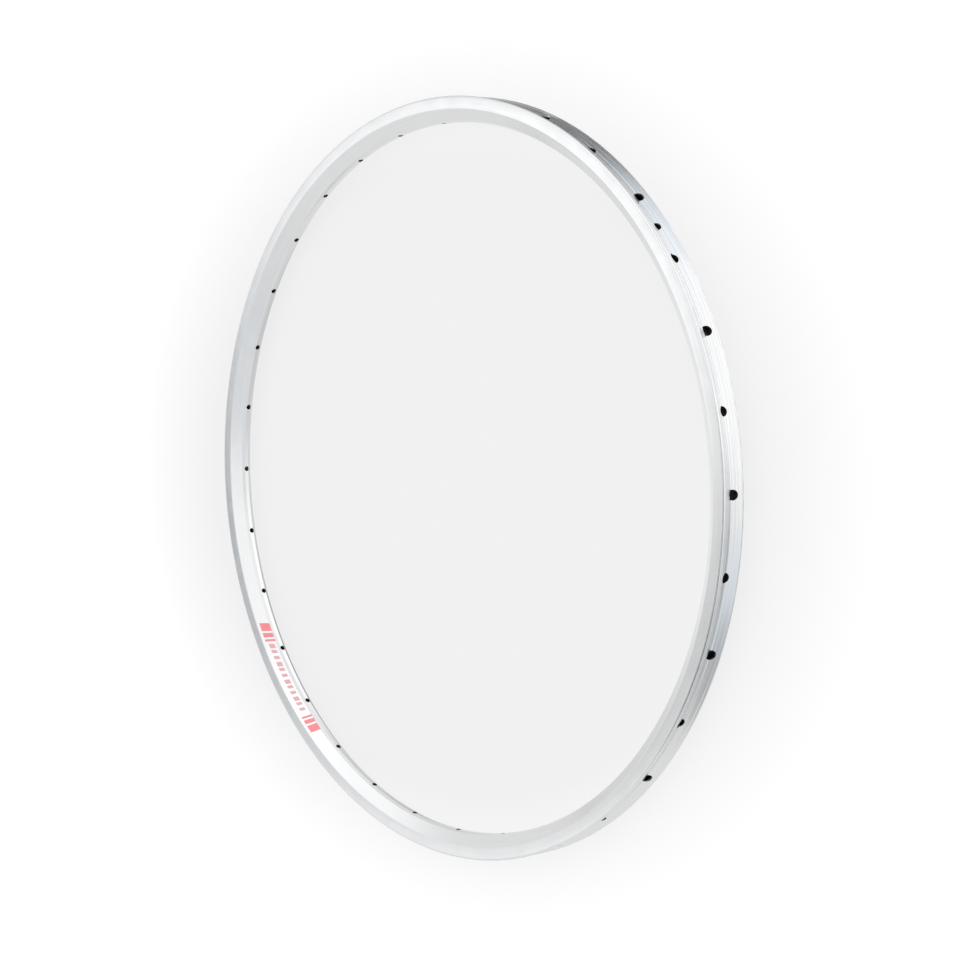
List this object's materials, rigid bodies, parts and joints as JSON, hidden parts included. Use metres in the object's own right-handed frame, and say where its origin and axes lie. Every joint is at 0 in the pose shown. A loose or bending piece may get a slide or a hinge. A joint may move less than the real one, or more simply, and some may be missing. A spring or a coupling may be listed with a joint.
{
  "type": "bicycle rim",
  "caption": "Hollow aluminium bicycle rim for a glued-on tyre: flat brake tracks, sloping flanks, shallow tyre bed, angled spoke holes and a valve hole.",
  "frame": {"origin": "centre of the rim, on its mid-plane", "axes": "+Z along the axle line, +X out through the valve hole"},
  "size_m": [0.6327, 0.6328, 0.0226],
  "materials": {
    "rim": "satin, clear anodised"
  },
  "bodies": {
    "root": {"rim": "rim"}
  },
  "joints": []
}
